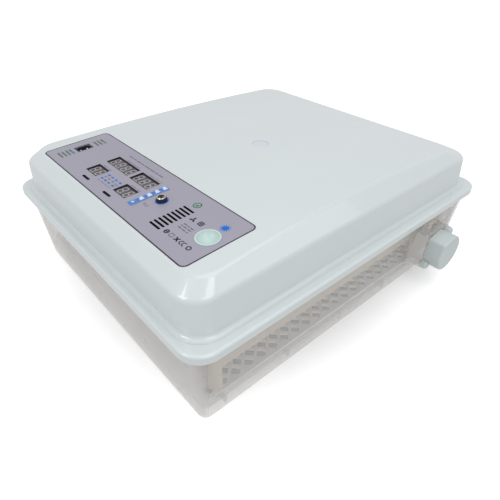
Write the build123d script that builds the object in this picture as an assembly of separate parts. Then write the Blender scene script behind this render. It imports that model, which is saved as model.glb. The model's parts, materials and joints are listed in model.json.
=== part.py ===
from build123d import *
import os
from math import acos, atan, cos, degrees, radians, sin, sqrt

# Egg incubator: a translucent tub with an egg-turning tray and its motor, under a white lid that
# carries the electronics. Millimetres, +Z up. The origin is the centre of the base on the table.
# The control panel is along the front (-Y) edge of the lid, the turner motor on the right (+X) wall.

# ---- Lid shell -----------------------------------------------------------------------------
LID_WIDTH = 430.0          # X, over the flange
LID_DEPTH = 510.0          # Y, over the flange
LID_WALL = 3.0
FLANGE_TOP = 115.0
FLANGE_THICK = 3.0
FLANGE_CORNER = 27.0
RIM_HEIGHT = 10.4          # the flange's down-turned rim, over all
FOOT_WIDTH = 398.4         # the lid's wall where it stands on the flange
FOOT_DEPTH = 486.0
FOOT_CORNER = 28.0
STEP_WIDTH = 5.5           # a low step round the wall's foot
STEP_RISE = 0.5
BELT_Z = 156.0             # where the wall turns into the sloping shoulder
BELT_WIDTH = 391.4
BELT_DEPTH = 484.0
BELT_CORNER = 30.0
CROWN_Z = 176.6            # top of the lid, at y = 0
CROWN_RADIUS = 3313.0      # the top is a shallow arch along Y
CROWN_HALF_WIDTH = 177.6   # the shoulder planes, where they reach CROWN_Z
CROWN_FRONT = -215.3
CROWN_REAR = 195.0
CROWN_CORNER = 22.0

# ---- Tub -----------------------------------------------------------------------------------
TUB_WALL = 2.2
TUB_WIDTH = 395.4          # at the table
TUB_DEPTH = 476.0
TUB_TOP_WIDTH = 413.8      # at the rim
TUB_TOP_DEPTH = 494.0
TUB_TOP_Z = FLANGE_TOP - FLANGE_THICK
TUB_CORNER = 10.0
TUB_TOP_CORNER = 16.0
TUB_RIM_REACH = 4.6        # the rim turns out by this much and down again
TUB_RIM_DROP = 12.0
FLOOR_Z = 15.2             # top of the floor; the walls go on down to the table as a skirt
CHANNEL_X = 95.0           # the two water channels in the floor
CHANNEL_WIDTH = 44.0
CHANNEL_LENGTH = 380.0
CHANNEL_BOTTOM = 1.0

# ---- Egg floor and turning frame -----------------------------------------------------------
GRID_TOP = 26.0
GRID_THICK = 3.0
GRID_WIDTH = 391.0
GRID_DEPTH = 462.0          # short of the tub at both ends, so that water can be poured in
GRID_BORDER = 4.5
LATTICE_PITCH = 13.1       # square holes in diagonal rows
LATTICE_HOLE = 9.5
FOOT_RADIUS = 3.5          # the feet pushed in under the lattice floor
FOOT_X = (46.0, 189.0)     # left and right of the middle
FOOT_Y = (72.0, 215.0)     # in front of and behind the middle
SMALLEST_HOLE = 14.0       # area below which a clipped hole at the border is left out
FRAME_WIDTH = 387.0
FRAME_DEPTH = 443.0
FRAME_BOTTOM = 60.0
FRAME_TOP = 82.0
RAIL_THICK = 4.0
RAIL_LEDGE = 6.0           # the inward ledge on which the dividers hang
LEDGE_THICK = 2.0
LEG_SIDE = 12.0
GLIDE_GAP = 0.3            # between the frame's legs and the egg floor
DIVIDER_COUNT = 7
DIVIDER_PITCH = 54.4
DIVIDER_THICK = 2.5
DIVIDER_LOW = 30.0
DIVIDER_WIDTH = 336.0      # below the rail
DIVIDER_SLOT = (36.0, 14.0)
DIVIDER_SLOT_X = (-112.0, -56.0, 0.0, 56.0, 112.0)
DIVIDER_SLOT_Z = 54.0
FORK_PLAY = 0.2105         # play of the crank's roller in its slot, as a share of the throw
FORK_THICK = 4.0
FORK_WIDTH = 27.0
FORK_LOW = 36.0
FORK_HIGH = 79.0
FORK_SCREW_REACH = 9.5     # of each fork screw, along Y from the motor's axis
FORK_SCREW_Z = 76.0
ROLLER_RADIUS = 3.0
ROLLER_PLAY = 0.4

# ---- Turner motor --------------------------------------------------------------------------
MOTOR_Y = 150.0
MOTOR_Z = 53.0
POD_FACE_X = 220.0         # the tub wall bulges out to this flat face for the motor
POD_RADIUS = 27.5
POD_EAR_RADIUS = 7.2
POD_FLARE = (              # how much wider the pod is, this far behind its face: (behind, wider)
    (26.0, 19.0), (20.0, 10.0), (14.0, 4.6), (7.0, 1.4), (0.0, 0.0),
)
POD_EAR_SHARE = 0.45       # the ears' share of the pod's flare
POD_SHAFT_HOLE = 6.0
POD_SCREW_HOLE = 1.7
CRANK_THROW = 12.0
COVER_RADIUS = 26.0
COVER_LENGTH = 23.0
COVER_WALL = 1.6
COVER_ROUND = 2.4          # round the cover's end face
TIP_ROUND = 3.5            # along its blunt corner
TIP_REACH = 1.188          # the cover's outline has one blunt corner, this many radii out
TIP_ANGLE = 135.0
EAR_REACH = 29.0
EAR_ANGLES = (40.0, 220.0)
EAR_RADIUS = 6.4
EAR_LENGTH = 9.0
EAR_DOME = 4.5
SHAFT_RADIUS = 3.5
BEARING_GAP = 0.05
CRANK_ARM_LOW = 197.5      # X of the crank arm's two faces
CRANK_ARM_HIGH = 202.0
CRANK_PIN_RADIUS = 2.0
CRANK_PIN_TIP = 184.0

# ---- Control panel, in its own axes: U along X, V up the slope, W out of the lid -----------
PANEL_Y = -178.0
PANEL_WIDTH = 317.5
PANEL_DEPTH = 90.2
PANEL_CORNER = 7.0
LABEL_THICK = 0.5
DIGIT_PITCH = 12.7
DISPLAY_DEPTH = 17.0
DISPLAY_HEIGHT = 8.0
DISPLAY_RECESS = 1.8
DISPLAYS = {               # node: (digits, U, V)
    "display_upper_left": (4, -51.3, 12.2),
    "display_upper_right": (3, -0.4, 12.0),
    "display_lower_left": (2, -63.5, -15.4),
    "display_lower_right": (2, 5.1, -15.3),
}
KEY_COUNT = 5
KEY_U = 32.2
KEY_V = -1.8
KEY_PITCH = 9.95
KEY_SIDE = 8.6
KEY_GAP = 0.3
KEY_PROUD = 0.6
STATUS_U = (-41.1, -32.7, -24.0)
STATUS_V = -16.0
SOUND_SLOTS = ((-56.2, -34.0), (-4.2, -34.0))
SOUND_SLOT_SIZE = (16.4, 3.4)
VENT_COUNT = 9
VENT_U = 85.0
VENT_V = -6.7
VENT_PITCH = 5.125
VENT_SIZE = (18.4, 2.8)
INLET_U = -135.2
INLET_V = -0.6
INLET_SIZE = (16.3, 21.2)
SIDE_SLOT_V = (-32.5, -27.3, -22.1, -17.0, 17.0, 22.2, 27.5)
SIDE_SLOT_SIZE = (18.2, 2.8)
SOCKET_U = 50.8
SOCKET_V = 2.9
SOCKET_RADIUS = 4.9
CUP_U = 137.9
CUP_V = -1.1
CUP_RADIUS = 13.0
GATE_DISC = (12.7, 3.5)
GATE_RADIUS = 11.2
GATE_DEPTH = 1.2

# ---- Lid internals -------------------------------------------------------------------------
BOARD_TOP = -(DISPLAY_RECESS + DISPLAY_HEIGHT)   # W of the control board's upper face
BOARD_THICK = 1.6
BOARD_POSTS = ((-81.0, -37.0), (-81.0, 27.0), (104.0, -37.0), (104.0, 27.0))
BOARD_SIZE = (195.0, 74.0)
BOARD_UV = (11.5, -5.0)
BUZZER_UV = (-30.2, -33.0)
KEY_LOW = -4.9             # W of the underside of a key's retaining wings
SIDE_FLOOR = -LABEL_THICK - 1.2     # the lid is thin over the inlet board
INLET_BOARD_SIZE = (58.0, 76.0)
INLET_BOARD_UV = (-127.0, -1.0)
INLET_BOARD_TOP = SIDE_FLOOR - 0.7
INLET_PIN_REACH = 4.35     # of each inlet pin from the inlet's middle
INLET_PIN_RADIUS = 1.25
INLET_PIN_TIP = -2.2
FILM_SIZE = (16.0, 5.0)
FILM_UV = (-135.2, -15.0)
LINER_TOP = 120.5
LINER_THICK = 2.0
LINER_GAP = 1.5
LINER_SKIRT = 5.0
POST_XY = tuple((x, y) for x in (-174.0, 174.0) for y in (-203.0, 0.0, 196.0))
POST_RADIUS = 4.5
FAN_SIZE = 80.0
FAN_HEIGHT = 15.0
FAN_TOP = 110.5
FAN_BORE = 38.0
FAN_HOLE = 35.75           # of each mounting hole from the fan's middle lines
HUB_RADIUS = 16.0
BLADE_COUNT = 7
HEATER_RADIUS = 62.0
HEATER_Z = 104.0
SENSOR_XY = (0.0, -112.0)
LEAD_RADIUS = 1.6
LEAD_BEND = 9.0
LEAD_START = {             # lead: (X, Y, Z) where it leaves its board
    "heater": (-104.0, -175.0, 167.6),
    "fan": (20.0, -172.0, 160.4),
    "sensor": (0.0, -188.0, 159.6),
}
LEAD_RUN = {"heater": 138.0, "fan": 134.0, "sensor": 134.0}   # Z of the level run
LEAD_END = {               # lead: (X, Y, Z) where it meets what it feeds
    "heater": (-62.0, 9.0, 107.0),
    "fan": (30.0, -30.0, 110.5),
    "sensor": (0.0, -112.0, 112.0),
}


# ---- Shared shapes -------------------------------------------------------------------------
def crown_z(y):
    """Height of the lid's arched top at y."""
    return CROWN_Z - CROWN_RADIUS + sqrt(CROWN_RADIUS**2 - y**2)


PANEL_TILT = degrees(atan(-PANEL_Y / (crown_z(PANEL_Y) - CROWN_Z + CROWN_RADIUS)))
PANEL_AXES = Pos(0, PANEL_Y, crown_z(PANEL_Y) - 0.1) * Rot(PANEL_TILT, 0, 0)


def section(width, depth, corner, z, y=0.0):
    """A rounded rectangle lying level at height z."""
    return Pos(0, y, z) * RectangleRounded(width, depth, corner)


def slab(width, depth, corner, low, high):
    """An upright rounded block between two heights."""
    return extrude(section(width, depth, corner, low), high - low)


def block(u, v, low, high, centre=(0.0, 0.0)):
    """An upright box between two heights."""
    return Pos(centre[0], centre[1], (low + high) / 2) * Box(u, v, high - low)


def rod(radius, low, high, centre=(0.0, 0.0)):
    """An upright cylinder between two heights."""
    return Pos(centre[0], centre[1], (low + high) / 2) * Cylinder(radius, high - low)


def rod_x(radius, low, high, y, z):
    """A cylinder along X between two x values."""
    return Pos((low + high) / 2, y, z) * Rot(0, 90, 0) * Cylinder(radius, high - low)


def slot(size, low, high, centre):
    """An upright slot with round ends, long side along U."""
    outline = Pos(centre[0], centre[1], low) * SlotOverall(size[0], size[1])
    return extrude(outline, high - low)


def screw(head_radius, head_height, shank_radius, shank_length):
    """A pan-head screw along +Z with the underside of its head at the origin."""
    head = rod(head_radius, -head_height, 0)
    head = fillet(head.edges().group_by(Axis.Z)[0], head_height * 0.45)
    recess = block(head_radius * 1.1, 0.7, -head_height, -head_height * 0.55)
    return head + rod(shank_radius, 0, shank_length) - recess - Rot(0, 0, 90) * recess


def on_panel(shape):
    """Place a shape made in the panel's axes on the lid."""
    return PANEL_AXES * shape


# ---- Lid shell -----------------------------------------------------------------------------
def lid_form(inset, low):
    """The lid's closed outer form, or its hollow when inset by the wall thickness."""
    side_run = (BELT_WIDTH / 2 - CROWN_HALF_WIDTH) / (CROWN_Z - BELT_Z)
    front_run = (BELT_DEPTH / 2 + CROWN_FRONT) / (CROWN_Z - BELT_Z)
    rear_run = (BELT_DEPTH / 2 - CROWN_REAR) / (CROWN_Z - BELT_Z)
    half_width = CROWN_HALF_WIDTH - inset * sqrt(1 + side_run**2)
    front = CROWN_FRONT + inset * sqrt(1 + front_run**2)
    rear = CROWN_REAR - inset * sqrt(1 + rear_run**2)
    foot = section(FOOT_WIDTH - 2 * inset, FOOT_DEPTH - 2 * inset, FOOT_CORNER - inset, low)
    belt = section(BELT_WIDTH - 2 * inset, BELT_DEPTH - 2 * inset, BELT_CORNER - inset,
                   BELT_Z - inset / 2)
    crown = section(2 * half_width, rear - front, CROWN_CORNER - inset / 2, CROWN_Z,
                    (front + rear) / 2)
    body = loft([foot, belt], ruled=True) + loft([belt, crown], ruled=True)
    arch = Pos(0, 0, CROWN_Z - CROWN_RADIUS) * Rot(0, 90, 0) * Cylinder(CROWN_RADIUS - inset, LID_DEPTH)
    return body & arch


def panel_openings(low, high, grow=0.0):
    """Everything that passes through the label and the lid, in the panel's axes."""
    cuts = [
        block(digits * DIGIT_PITCH - 0.9 + 0.6 + grow, DISPLAY_DEPTH + 0.6 + grow, low, high, (u, v))
        for digits, u, v in DISPLAYS.values()
    ]
    key_hole = KEY_SIDE + 2 * KEY_GAP
    cuts += [block(key_hole, key_hole, low, high, (KEY_U, v)) for v in key_places()]
    cuts += [rod(1.7, low, high, (u, STATUS_V)) for u in STATUS_U]
    cuts += [slot(SOUND_SLOT_SIZE, low, high, place) for place in SOUND_SLOTS]
    cuts += [slot(VENT_SIZE, low, high, (VENT_U, v)) for v in vent_places()]
    cuts += [slot(SIDE_SLOT_SIZE, low, high, (INLET_U, v)) for v in SIDE_SLOT_V]
    cuts.append(block(INLET_SIZE[0] + 0.4, INLET_SIZE[1] + 0.4, low, high, (INLET_U, INLET_V)))
    cuts.append(rod(SOCKET_RADIUS + 0.2, low, high, (SOCKET_U, SOCKET_V)))
    cuts.append(rod(CUP_RADIUS - 0.6, low, high, (CUP_U, CUP_V)))
    return cuts


def key_places():
    """V of each key, front to back."""
    return [KEY_V + (i - (KEY_COUNT - 1) / 2) * KEY_PITCH for i in range(KEY_COUNT)]


def inlet_board_holes():
    """The four screws that hold the inlet board, near its corners."""
    half_u = INLET_BOARD_SIZE[0] / 2 - 4
    half_v = INLET_BOARD_SIZE[1] / 2 - 3
    u, v = INLET_BOARD_UV
    return [(u + i * half_u, v + j * half_v) for i in (-1, 1) for j in (-1, 1)]


def vent_places():
    """V of each cooling slot."""
    return [VENT_V + (i - (VENT_COUNT - 1) / 2) * VENT_PITCH for i in range(VENT_COUNT)]


def lid_shell():
    """The white moulded lid: flange and rim, wall, shoulder, arched top and screw posts."""
    outer = lid_form(0.0, FLANGE_TOP - FLANGE_THICK)
    ridge = [e for e in outer.edges() if e.center().Z > CROWN_Z - 14]
    outer = fillet(ridge, 7.0)
    belt = [e for e in outer.edges() if abs(e.center().Z - BELT_Z) < 0.05 and e.length > 20]
    outer = fillet(belt, 8.0)
    flange = slab(LID_WIDTH, LID_DEPTH, FLANGE_CORNER, FLANGE_TOP - RIM_HEIGHT, FLANGE_TOP)
    flange = fillet(flange.edges().group_by(Axis.Z)[-1], 3.0)
    flange = fillet(flange.edges().group_by(Axis.Z)[0], 0.8)
    step = slab(FOOT_WIDTH + 2 * STEP_WIDTH, FOOT_DEPTH + 2 * STEP_WIDTH, FOOT_CORNER + STEP_WIDTH,
                FLANGE_TOP - 1, FLANGE_TOP + STEP_RISE)
    under = slab(LID_WIDTH - 2 * LID_WALL, LID_DEPTH - 2 * LID_WALL, FLANGE_CORNER - LID_WALL,
                 FLANGE_TOP - RIM_HEIGHT, FLANGE_TOP - FLANGE_THICK)
    body = flange + step + outer
    step_top = FLANGE_TOP + STEP_RISE
    cove = [
        e for e in body.edges()
        if abs(e.center().Z - step_top) < 0.02 and e.geom_type == GeomType.BSPLINE
    ]
    body = fillet(cove, 4.0)
    shell = body - under - lid_form(LID_WALL, FLANGE_TOP - RIM_HEIGHT)
    posts = [rod(POST_RADIUS, LINER_TOP, CROWN_Z, place) for place in POST_XY]
    posts += [on_panel(rod(3.0, BOARD_TOP, 0, place)) for place in BOARD_POSTS]
    solid_form = lid_form(0.5, FLANGE_TOP)
    shell += [post & solid_form for post in posts]
    bed = RectangleRounded(PANEL_WIDTH + 0.4, PANEL_DEPTH + 0.4, PANEL_CORNER + 0.2)
    cuts = [on_panel(extrude(Pos(0, 0, -LABEL_THICK) * bed, 3))]
    cuts += [on_panel(cut) for cut in panel_openings(-6.0, 1.0)]
    thin = block(INLET_BOARD_SIZE[0] + 2, INLET_BOARD_SIZE[1] + 2, -6.0, SIDE_FLOOR, INLET_BOARD_UV)
    thin -= [rod(3.2, INLET_BOARD_TOP, 0, place) for place in inlet_board_holes()]
    cuts.append(on_panel(thin))
    cuts += [on_panel(rod(1.1, INLET_BOARD_TOP - 1, SIDE_FLOOR + 0.4, p)) for p in inlet_board_holes()]
    cuts += [rod(1.6, LINER_TOP, LINER_TOP + 13, place) for place in POST_XY]
    cuts += [on_panel(rod(1.3, BOARD_TOP, BOARD_TOP + 5, place)) for place in BOARD_POSTS]
    cuts.append(rod(GATE_RADIUS, CROWN_Z - GATE_DEPTH, CROWN_Z + 2, GATE_DISC))
    return shell - cuts


def control_label():
    """The printed film stuck in the lid's shallow bed."""
    film = extrude(Pos(0, 0, -LABEL_THICK) * RectangleRounded(PANEL_WIDTH, PANEL_DEPTH, PANEL_CORNER),
                   LABEL_THICK)
    return on_panel(film - panel_openings(-LABEL_THICK - 1, 1.0))


def gate_disc():
    """A small disc that covers the moulding gate in the middle of the lid."""
    return rod(GATE_RADIUS - 0.1, CROWN_Z - GATE_DEPTH, CROWN_Z - GATE_DEPTH + 0.5, GATE_DISC)


# ---- Tub -----------------------------------------------------------------------------------
def tub_section(z, inset):
    """The tub's level section at height z, inside its outer face by inset."""
    share = z / TUB_TOP_Z
    width = TUB_WIDTH + (TUB_TOP_WIDTH - TUB_WIDTH) * share - 2 * inset
    depth = TUB_DEPTH + (TUB_TOP_DEPTH - TUB_DEPTH) * share - 2 * inset
    corner = TUB_CORNER + (TUB_TOP_CORNER - TUB_CORNER) * share - inset
    return section(width, depth, corner, z)


def tub_form(inset, low, high):
    """The tub's tapered form between two heights."""
    return loft([tub_section(low, inset), tub_section(high, inset)], ruled=True)


def tipped_circle(radius, x):
    """A circle with one blunt corner, upright across X, round the motor's axis."""
    spread = degrees(acos(1 / TIP_REACH))
    axes = Plane(origin=(x, MOTOR_Y, MOTOR_Z), x_dir=(0, 1, 0), z_dir=(1, 0, 0))

    def at(reach, angle):
        return axes.from_local_coords((reach * cos(radians(angle)), reach * sin(radians(angle)), 0))

    start = at(radius, TIP_ANGLE - spread)
    end = at(radius, TIP_ANGLE + spread)
    tip = at(radius * TIP_REACH, TIP_ANGLE)
    return make_face([
        Line(start, tip), Line(tip, end), ThreePointArc(end, at(radius, TIP_ANGLE + 180), start)
    ])


def ear_centres():
    """Y and Z of the two screw ears beside the motor."""
    return [
        (MOTOR_Y + EAR_REACH * cos(radians(a)), MOTOR_Z + EAR_REACH * sin(radians(a)))
        for a in EAR_ANGLES
    ]


def ear_bar(width, low, high):
    """A flat bar with round ends through both ears and the motor's axis."""
    slope = radians(EAR_ANGLES[0])
    axes = Plane(origin=(low, MOTOR_Y, MOTOR_Z), x_dir=(0, cos(slope), sin(slope)), z_dir=(1, 0, 0))
    return extrude(axes * SlotCenterToCenter(2 * EAR_REACH, width), high - low)


def pod_form(inset):
    """The bulge of the tub's wall that carries the motor: it flares out of the wall to a flat face."""
    places = [(POD_FACE_X - inset if back == 0 else POD_FACE_X - back, flare) for back, flare in POD_FLARE]
    pod = loft([tipped_circle(POD_RADIUS + flare - inset, x) for x, flare in places])
    for y, z in ear_centres():
        rings = [
            Plane(origin=(x, y, z), x_dir=(0, 1, 0), z_dir=(1, 0, 0))
            * Circle(POD_EAR_RADIUS + POD_EAR_SHARE * flare - inset)
            for x, flare in places
        ]
        pod += loft(rings)
    return pod


def tub():
    """The translucent tub: tapered walls, turned rim, floor with two water channels, motor pod."""
    rim_width = TUB_TOP_WIDTH + 2 * TUB_RIM_REACH
    rim_depth = TUB_TOP_DEPTH + 2 * TUB_RIM_REACH
    lip = 2.0
    rim = slab(rim_width, rim_depth, 25, TUB_TOP_Z - TUB_RIM_DROP, TUB_TOP_Z)
    rim = fillet(rim.edges().group_by(Axis.Z)[-1], 1.5)
    rim -= slab(rim_width - 2 * lip, rim_depth - 2 * lip, 25 - lip, 0, TUB_TOP_Z - TUB_WALL)
    body = tub_form(0.0, 0.0, TUB_TOP_Z) + rim + pod_form(0.0)
    cavity = tub_form(TUB_WALL, FLOOR_Z, TUB_TOP_Z + 1) + pod_form(TUB_WALL)
    underside = tub_form(TUB_WALL, -1.0, FLOOR_Z - TUB_WALL)
    stiffeners = tub_form(1.0, 0.0, FLOOR_Z - 1) & underfloor_ribs()
    for x in (-CHANNEL_X, CHANNEL_X):
        outer = Pos(x, 0, 0) * slab(CHANNEL_WIDTH, CHANNEL_LENGTH, 8, CHANNEL_BOTTOM, FLOOR_Z)
        inner = Pos(x, 0, 0) * slab(CHANNEL_WIDTH - 2 * TUB_WALL, CHANNEL_LENGTH - 2 * TUB_WALL, 6,
                                    CHANNEL_BOTTOM + TUB_WALL, FLOOR_Z + 5)
        underside -= outer
        cavity += inner
    body = body - underside - cavity + (stiffeners - cavity)
    holes = [rod_x(POD_SHAFT_HOLE, POD_FACE_X - 8, POD_FACE_X + 2, MOTOR_Y, MOTOR_Z)]
    holes += [rod_x(POD_SCREW_HOLE, POD_FACE_X - 8, POD_FACE_X + 2, y, z) for y, z in ear_centres()]
    return body - holes


def underfloor_ribs():
    """Ribs below the floor: one cross through the origin and short ones along the skirt."""
    top = FLOOR_Z - 1
    ribs = block(3, 400, 0, top) + block(2 * CHANNEL_X - CHANNEL_WIDTH, 3, 0, top)
    for i in range(5):
        for side in (-1, 1):
            ribs += block(14, 2, 0, top, (side * (TUB_WIDTH / 2 - 8), -207 + 95 * i))
    for x in (-150, -50, 50, 150):
        for side in (-1, 1):
            ribs += block(2, 14, 0, top, (x, side * (TUB_DEPTH / 2 - 8)))
    return ribs


# ---- Egg floor -----------------------------------------------------------------------------
def floor_grid():
    """The open lattice floor on which the eggs roll."""
    open_width = GRID_WIDTH - 2 * GRID_BORDER
    open_depth = GRID_DEPTH - 2 * GRID_BORDER
    step = LATTICE_PITCH / sqrt(2)
    count_x = int(open_width / 2 / step) + 1
    count_y = int(open_depth / 2 / step) + 1
    holes = [
        Pos(i * step, j * step) * Rectangle(LATTICE_HOLE, LATTICE_HOLE, rotation=45)
        for i in range(-count_x, count_x + 1)
        for j in range(-count_y, count_y + 1)
        if (i + j) % 2 == 0
    ]
    window = RectangleRounded(open_width, open_depth, 5)
    inside_x = open_width / 2 - LATTICE_HOLE
    inside_y = open_depth / 2 - LATTICE_HOLE
    wires = []
    for hole in holes:
        centre = hole.center()
        if abs(centre.X) < inside_x and abs(centre.Y) < inside_y:
            wires.append(hole.face().outer_wire())
        else:
            pieces = (hole & window).faces()
            wires += [piece.outer_wire() for piece in pieces if piece.area > SMALLEST_HOLE]
    outline = RectangleRounded(GRID_WIDTH, GRID_DEPTH, 9).face().outer_wire()
    return extrude(Pos(0, 0, GRID_TOP - GRID_THICK) * Face(outline, wires), GRID_THICK)


def grid_feet():
    """The feet that hold the lattice floor off the tub's floor."""
    places = [(i * x, j * y) for x in FOOT_X for y in FOOT_Y for i in (-1, 1) for j in (-1, 1)]
    return [rod(FOOT_RADIUS, FLOOR_Z, GRID_TOP - GRID_THICK, place) for place in places]


# ---- Turning frame -------------------------------------------------------------------------
def crank_slot(x_low, x_high):
    """The space for the crank's roller, open downwards."""
    half = CRANK_THROW * FORK_PLAY + ROLLER_RADIUS + ROLLER_PLAY
    arch_z = MOTOR_Z + CRANK_THROW + ROLLER_PLAY
    legs = block(x_high - x_low, 2 * half, GRID_TOP, arch_z, ((x_low + x_high) / 2, MOTOR_Y))
    return rod_x(half, x_low, x_high, MOTOR_Y, arch_z) + legs


def turning_frame():
    """The sliding frame: a raised rail on four legs, with a ledge for the dividers."""
    rail = slab(FRAME_WIDTH, FRAME_DEPTH, 12, FRAME_BOTTOM, FRAME_TOP)
    rail -= slab(FRAME_WIDTH - 2 * RAIL_THICK, FRAME_DEPTH - 2 * RAIL_THICK, 8, FRAME_BOTTOM, FRAME_TOP)
    ledge_width = 2 * (RAIL_THICK + RAIL_LEDGE)
    ledge_low = FRAME_TOP - LEDGE_THICK
    ledge = slab(FRAME_WIDTH - 2, FRAME_DEPTH - 2, 11, ledge_low, FRAME_TOP)
    ledge -= slab(FRAME_WIDTH - ledge_width, FRAME_DEPTH - ledge_width, 4, ledge_low, FRAME_TOP)
    frame = rail + ledge
    leg = slab(FRAME_WIDTH, FRAME_DEPTH, 12, GRID_TOP + GLIDE_GAP, FRAME_BOTTOM + 1)
    leg -= slab(FRAME_WIDTH - 5, FRAME_DEPTH - 5, 9.5, GRID_TOP, FRAME_BOTTOM + 1)
    for x in (-1, 1):
        for y in (-1, 1):
            corner = block(2 * LEG_SIDE, 2 * LEG_SIDE, GRID_TOP, FRAME_BOTTOM + 1,
                           (x * FRAME_WIDTH / 2, y * FRAME_DEPTH / 2))
            frame += leg & corner
    inner_face = FRAME_WIDTH / 2 - RAIL_THICK
    frame -= crank_slot(inner_face - 1, FRAME_WIDTH / 2 + 1)
    frame -= [rod_x(1.3, inner_face - 1, inner_face + 2.5, y, z) for y, z in fork_holes()]
    return frame


def divider_places():
    """Y of each divider, front to back."""
    return [(i - (DIVIDER_COUNT - 1) / 2) * DIVIDER_PITCH for i in range(DIVIDER_COUNT)]


def divider(y):
    """A plate that hangs across the frame and rolls the eggs."""
    ledge_inner = FRAME_WIDTH / 2 - RAIL_THICK - RAIL_LEDGE
    outline = RectangleRounded(DIVIDER_WIDTH, FRAME_TOP - 4 - DIVIDER_LOW, 8)
    plate = Pos(0, (FRAME_TOP - 4 + DIVIDER_LOW) / 2) * outline
    plate += Pos(0, FRAME_TOP - 3) * Rectangle(2 * (ledge_inner - 1), 10)
    plate += Pos(0, FRAME_TOP + 2) * Rectangle(2 * (ledge_inner + 4.5), 4)
    for x in DIVIDER_SLOT_X:
        plate -= Pos(x, DIVIDER_SLOT_Z) * SlotOverall(*DIVIDER_SLOT)
    front = Plane(origin=(0, y + DIVIDER_THICK / 2, 0), x_dir=(1, 0, 0), z_dir=(0, -1, 0))
    return extrude(front * plate, DIVIDER_THICK)


def fork_holes():
    """Y and Z of the two screws that hold the fork to the rail."""
    return [(MOTOR_Y + side * FORK_SCREW_REACH, FORK_SCREW_Z) for side in (-1, 1)]


def turner_fork():
    """The slotted plate that the crank's roller pushes, open at the bottom to lift off."""
    outer = FRAME_WIDTH / 2 - RAIL_THICK
    inner = outer - FORK_THICK
    plate = block(FORK_THICK, FORK_WIDTH, FORK_LOW, FORK_HIGH, ((inner + outer) / 2, MOTOR_Y))
    plate = fillet(plate.edges().filter_by(Axis.X), 3)
    plate -= crank_slot(inner - 1, outer + 1)
    return plate - [rod_x(1.7, inner - 1, outer + 1, y, z) for y, z in fork_holes()]


def fork_screws():
    """Two screws from inside the frame."""
    face = FRAME_WIDTH / 2 - RAIL_THICK - FORK_THICK
    return [Pos(face, y, z) * Rot(0, 90, 0) * screw(2.8, 1.8, 1.25, 6) for y, z in fork_holes()]


# ---- Turner motor --------------------------------------------------------------------------
def motor_cover():
    """The cap over the motor, with a blunt corner and two domed screw ears."""
    end = POD_FACE_X + COVER_LENGTH
    axle = Vector(end - COVER_LENGTH / 2, MOTOR_Y, MOTOR_Z)
    cap = extrude(tipped_circle(COVER_RADIUS, POD_FACE_X), COVER_LENGTH)
    tip = cap.edges().filter_by(Axis.X).sort_by(lambda e: (e.center() - axle).length)[-1]
    cap = fillet(tip, TIP_ROUND)
    cap = fillet(cap.edges().group_by(Axis.X)[-1], COVER_ROUND)
    for y, z in ear_centres():
        ear = rod_x(EAR_RADIUS, POD_FACE_X, POD_FACE_X + EAR_LENGTH, y, z)
        cap += fillet(ear.edges().group_by(Axis.X)[-1], EAR_DOME)
    hollow = extrude(tipped_circle(COVER_RADIUS - COVER_WALL, POD_FACE_X), COVER_LENGTH - COVER_WALL)
    pockets = [ear_bar(10.4, POD_FACE_X, POD_FACE_X + 2.2)]
    pockets += [rod_x(1.4, POD_FACE_X, POD_FACE_X + 7, y, z) for y, z in ear_centres()]
    mark = rod_x(1.1, end - 0.4, end + 1, MOTOR_Y + 3, MOTOR_Z - 20)
    return cap - hollow - pockets - mark


def turner_motor():
    """The geared motor: a can on a plate with two ears, and a bearing bore for its shaft."""
    can_radius = COVER_RADIUS - COVER_WALL - 0.5
    body = rod_x(can_radius, POD_FACE_X + 1, POD_FACE_X + 18, MOTOR_Y, MOTOR_Z)
    body = fillet(body.edges().group_by(Axis.X)[-1], 1.5)
    body += rod_x(can_radius - 4, POD_FACE_X + 17, POD_FACE_X + 20, MOTOR_Y, MOTOR_Z)
    body += rod_x(can_radius, POD_FACE_X, POD_FACE_X + 2, MOTOR_Y, MOTOR_Z)
    body += ear_bar(9.6, POD_FACE_X, POD_FACE_X + 2)
    holes = [rod_x(1.6, POD_FACE_X - 1, POD_FACE_X + 3, y, z) for y, z in ear_centres()]
    holes.append(rod_x(SHAFT_RADIUS + BEARING_GAP, POD_FACE_X - 1, POD_FACE_X + 12, MOTOR_Y, MOTOR_Z))
    return body - holes


def cover_screws():
    """Two screws from inside the tub, through the motor's ears, into the cover."""
    head_face = POD_FACE_X - TUB_WALL
    return [Pos(head_face, y, z) * Rot(0, 90, 0) * screw(3.2, 2.0, 1.35, 8.5) for y, z in ear_centres()]


def motor_shaft():
    """The motor's output shaft, which carries the crank arm."""
    shaft = rod_x(SHAFT_RADIUS, CRANK_ARM_LOW + 0.5, POD_FACE_X + 11, MOTOR_Y, MOTOR_Z)
    return chamfer(shaft.edges().group_by(Axis.X)[0], 0.5)


def crank_arm():
    """The crank: a hub on the shaft, an arm, and a pin that reaches into the fork."""
    thick = CRANK_ARM_HIGH - CRANK_ARM_LOW
    arm = SlotCenterToCenter(CRANK_THROW, 12)
    axes = Plane(origin=(CRANK_ARM_LOW, MOTOR_Y, MOTOR_Z + CRANK_THROW / 2), x_dir=(0, 0, 1),
                 z_dir=(1, 0, 0))
    body = extrude(axes * arm, thick)
    body += rod_x(6.5, CRANK_ARM_LOW, CRANK_ARM_HIGH + 8, MOTOR_Y, MOTOR_Z)
    body += rod_x(CRANK_PIN_RADIUS, CRANK_PIN_TIP, CRANK_ARM_LOW, MOTOR_Y, MOTOR_Z + CRANK_THROW)
    return body - rod_x(SHAFT_RADIUS, CRANK_ARM_LOW + 0.5, POD_FACE_X, MOTOR_Y, MOTOR_Z)


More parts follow.
